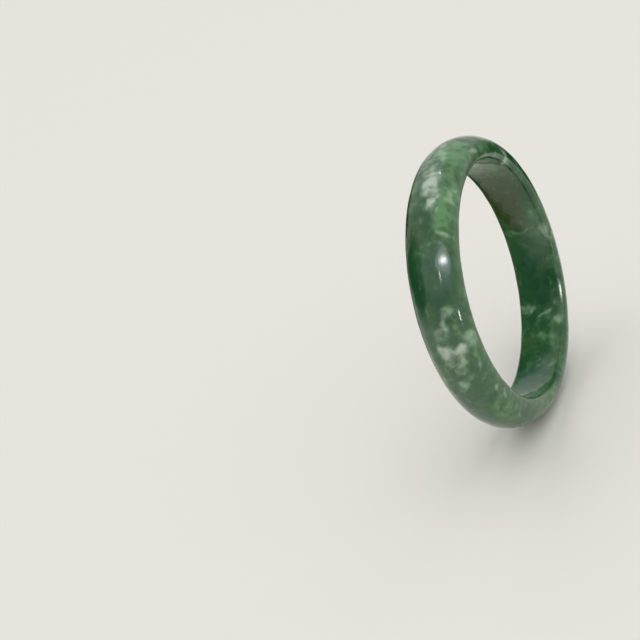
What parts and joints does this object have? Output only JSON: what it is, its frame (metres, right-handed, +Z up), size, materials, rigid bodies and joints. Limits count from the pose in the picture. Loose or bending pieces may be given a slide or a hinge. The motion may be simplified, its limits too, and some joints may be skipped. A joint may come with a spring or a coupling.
{
  "type": "bangle bracelet",
  "caption": "Closed solid jade bangle with a straight polished bore, rounded inner edges and a domed outer face, mottled dark green with pale clouds.",
  "frame": {"origin": "centre of the bore, halfway across the band", "axes": "+Y along the bore axis, from one side of the ring to the other; +Z up with the ring standing upright; +X across the ring"},
  "size_m": [0.0712, 0.0126, 0.0712],
  "materials": {
    "jade": "polished"
  },
  "bodies": {
    "root": {"bangle": "jade"}
  },
  "joints": []
}
